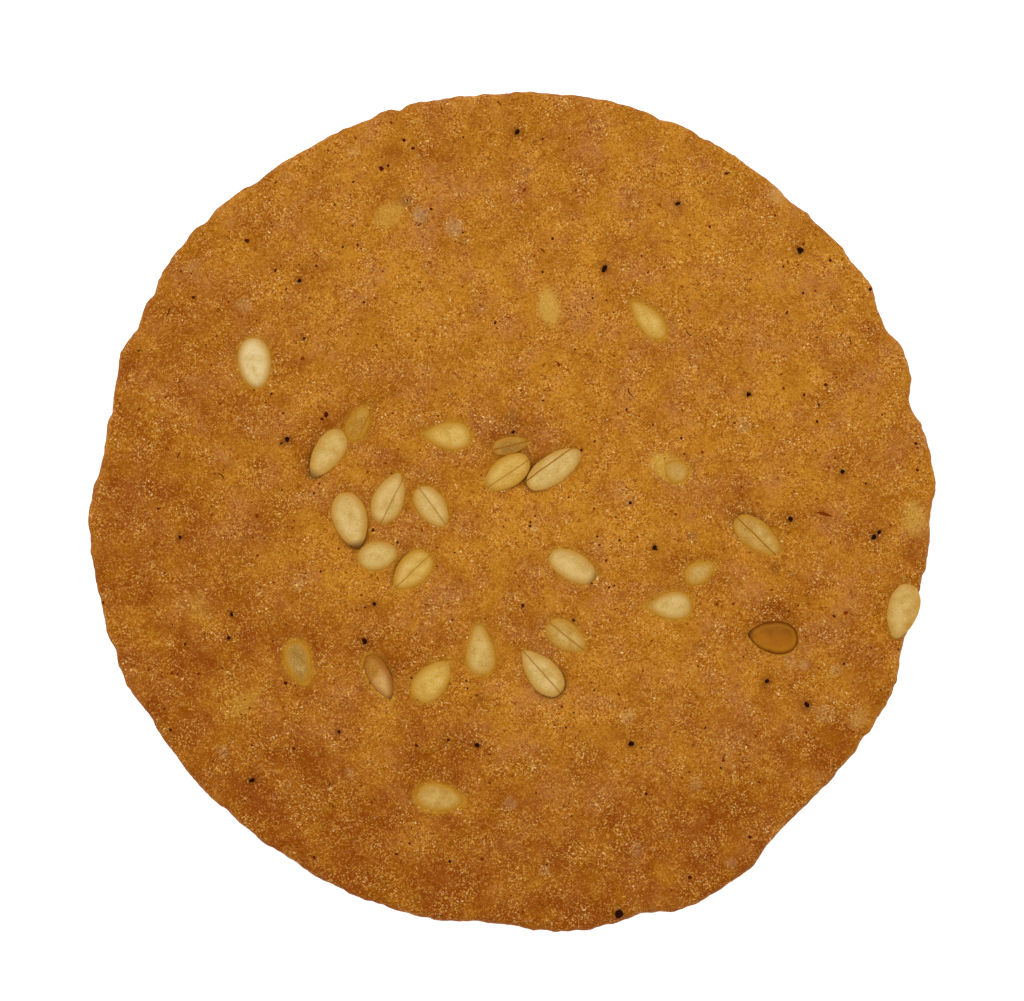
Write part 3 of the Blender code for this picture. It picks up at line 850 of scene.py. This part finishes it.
# Hairs: x, y, length in mm, bearing and bend in degrees.
hairs = (
    (10.5, 10.62, 0.55, -45, 100), (7, 7.1, 0.6, 120, -60), (-20.5, 11.9, 0.6, 65, 20),
    (-17.3, 2.2, 0.6, 140, 90), (20.2, 10.2, 0.6, 100, 25), (-5.36, -1.1, 0.32, 100, 120),
    (12.8, 20.2, 0.5, 15, 15), (-19.9, 3.4, 0.5, 60, -50), (-10.87, -16.3, 0.35, 80, 60),
    (1.83, 15.6, 0.4, -45, 15),
)

# Slivers of husk: x, y, length and width in mm, and bearing in degrees.
slivers = ((18.6, -0.1, 0.98, 0.34, -17),)


def baked_surface(x, y):
    """Where a place in mm lies on the finished crust, in metres, and the crust's outward direction."""
    above = Vector((x * MM, y * MM, 2 * dough_high.z))
    hit, out = finished_crust.ray_cast(above, Vector((0, 0, -1)))[:2]
    return Vector((x * MM, y * MM, hit.z)), out


def laid_flat(x, y, bearing):
    """The matrix that lays a bit level on the crust at a place in mm, turned to its bearing."""
    turned = Matrix.Rotation(math.radians(bearing), 4, "Z")
    return Matrix.Translation(baked_surface(x, y)[0]) @ turned


def fleck_shape(size, draw):
    """Points of a broken chip: a peak, an upper and a lower ring of corners, and a base."""
    stretch = draw.uniform(0.55, 0.95)
    reaches = [draw.uniform(0.7, 1.15) * size * MM / 2 for _ in range(FLECK_CORNERS)]
    points = [Vector((0, 0, FLECK_HEIGHT * draw.uniform(0.7, 1.2)))]
    for share, height in ((0.75, 0.8), (1.0, 0.0)):
        for corner, reach in enumerate(reaches):
            turn = 2 * math.pi * corner / FLECK_CORNERS
            x, y = reach * share * math.cos(turn), reach * share * math.sin(turn)
            points.append(Vector((x, y * stretch, height * FLECK_HEIGHT)))
    points.append(Vector((0, 0, -FLECK_HEIGHT)))
    return points


def hair_shape(length, bend):
    """Points of a short bent hair of husk, round its line, along an arc from its middle."""
    points = []
    curl = math.radians(bend)
    reach = length * MM / curl
    for ring in range(HAIR_RINGS + 2):
        turn = curl * (ring / (HAIR_RINGS + 1) - 0.5)
        centre = Vector((reach * math.sin(turn), reach * (1 - math.cos(turn)), 0))
        sideways = Vector((-math.sin(turn), math.cos(turn), 0))
        if ring in (0, HAIR_RINGS + 1):
            points.append(centre)
            continue
        for step in range(FLECK_CORNERS):
            around = 2 * math.pi * step / FLECK_CORNERS
            off = sideways * math.cos(around) + Vector((0, 0, math.sin(around)))
            points.append(centre + off * HAIR_THICKNESS)
    return points


fleck_points, fleck_faces, fleck_colours = [], [], []


def keep_bit(points, rings, kind):
    """Adds one laid bit to the flecks."""
    fleck_faces.extend(lofted_faces(rings, FLECK_CORNERS, len(fleck_points)))
    fleck_points.extend(points)
    fleck_colours.extend([linear(FLECK_COLOURS[kind])] * len(points))


finished_crust = surface_of(dough)
draw = random.Random(11)
chips = [(x, y, size, kind) for kind, places in flecks.items() for x, y, size in places]
while len(chips) < FLECKS:
    x = draw.uniform(-STRAY_REACH, STRAY_REACH)
    y = draw.uniform(-STRAY_REACH, STRAY_REACH)
    clear = all(math.hypot(x - seed.x, y - seed.y) > seed.length / 2 for seed in seeds)
    if math.hypot(x, y) < STRAY_REACH and clear:
        kind = draw.choices(("char", "bran", "husk"), (1, 4, 8))[0]
        chips.append((x, y, 0.08 + 0.13 * draw.random() ** 2, kind))
for x, y, size, kind in chips:
    at, out = baked_surface(x, y)
    turned = Matrix.Rotation(draw.uniform(0, 2 * math.pi), 3, "Z").to_quaternion()
    laid = out.to_track_quat("Z", "Y") @ turned
    at -= out * FLECK_SUNK
    keep_bit([at + laid @ point for point in fleck_shape(size, draw)], 2, kind)
for x, y, length, width, bearing in slivers:
    at = laid_flat(x, y, bearing) @ Matrix.Diagonal((length, width, 1, 1))
    keep_bit([at @ point for point in fleck_shape(1.0, draw)], 2, "husk")
for x, y, length, bearing, bend in hairs:
    at = laid_flat(x, y, bearing)
    keep_bit([at @ point for point in hair_shape(length, bend)], HAIR_RINGS, "bran")

# Charred bran: matt and dry, nearly black where it burnt, with a browner broken edge.
bran_sockets = {"Roughness": 0.8, "Specular IOR Level": 0.02}
burnt_bran, bran_shader = new_material("burnt_bran", bran_sockets)
place = node(burnt_bran, "TexCoord", out="Object")
char = node(burnt_bran, "Attribute", {"attribute_name": "char"}, out="Color")
flaky = node(burnt_bran, "TexNoise", None, {"Vector": place, "Scale": 1 / (0.1 * MM), "Detail": 2.0})
flaky = node(burnt_bran, "MapRange", None, {0: flaky, 1: 0.5, 2: 0.75, 3: 0.0, 4: 0.35})
char = node(burnt_bran, "Mix", {"data_type": "RGBA"},
            {0: flaky, 6: char, 7: linear("#5C2808")}, out=2)
burnt_bran.node_tree.links.new(char, bran_shader.inputs["Base Color"])
bran = new_piece("bran_flecks", fleck_points, fleck_faces, burnt_bran, smooth=False)
mark(bran, "char", fleck_colours, "FLOAT_COLOR")
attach(bran, "root")

# ---- Table, light and camera ----
# The cookie lies on a plain white table under one large soft lamp beyond it, and a pale room adds
# light from all round. The camera looks straight down from far off.

TABLE_REACH = 1.5  # m from the middle to each side
TABLE_DROP = 0.02 * MM  # how far the table lies under the foot, so that the two faces stay apart
LAMP_SIZE = 0.26  # m
LAMP_POWER = 0.7  # W
LAMP_PLACE = (-0.015, 0.07, 0.3)
CAMERA_PLACE = (0, 0.69 * MM, 342.3 * MM)
top_sockets = {"Base Color": linear("#F8F8F6"), "Roughness": 0.8}
top_sockets |= {"Emission Color": linear("#FFFFFF"), "Emission Strength": 0.65}
white_top, top_shader = new_material("white_laminate", top_sockets)
# From underneath the table is clear, so that the cookie's foot can be seen.
underneath = node(white_top, "NewGeometry", out="Backfacing")
clear = node(white_top, "BsdfTransparent")
one_sided = node(white_top, "MixShader", None, {0: underneath, 1: top_shader.outputs[0], 2: clear})
white_top.node_tree.links.new(one_sided, white_top.node_tree.nodes["Material Output"].inputs[0])
table_corners = ((-1, -1), (1, -1), (1, 1), (-1, 1))
table_points = [(x * TABLE_REACH, y * TABLE_REACH, -TABLE_DROP) for x, y in table_corners]
table = new_piece("white_table", table_points, [(0, 1, 2, 3)], white_top)

lamp_data = bpy.data.lights.new("soft_lamp", "AREA")
lamp_data.size = LAMP_SIZE
lamp_data.energy = LAMP_POWER
lamp = bpy.data.objects.new("soft_lamp", lamp_data)
lamp.location = LAMP_PLACE
lamp.rotation_mode = "QUATERNION"
lamp.rotation_quaternion = Vector(lamp.location).to_track_quat("Z", "Y")
bpy.context.scene.collection.objects.link(lamp)

room = bpy.data.worlds.new("pale_room")
room.use_nodes = True
bpy.context.scene.world = room
background = room.node_tree.nodes["Background"]
sky_place = node(room, "TexCoord", out="Generated")
sky_height = node(room, "SeparateXYZ", None, {0: sky_place}, out="Z")
sky_height = node(room, "MapRange", None, {0: sky_height, 1: 0.0, 2: 0.7, 3: 0.0, 4: 1.0})
sky = node(room, "Mix", {"data_type": "RGBA"},
           {0: sky_height, 6: linear("#E8E8E8"), 7: linear("#A8A8A8")}, out=2)
room.node_tree.links.new(sky, background.inputs["Color"])

camera_data = bpy.data.cameras.new("camera")
camera_data.lens = 200
camera_data.sensor_width = 36
camera_data.clip_start = 0.01
camera = bpy.data.objects.new("camera", camera_data)
camera.location = CAMERA_PLACE
bpy.context.scene.collection.objects.link(camera)
bpy.context.scene.camera = camera
bpy.context.scene.view_settings.view_transform = "Standard"
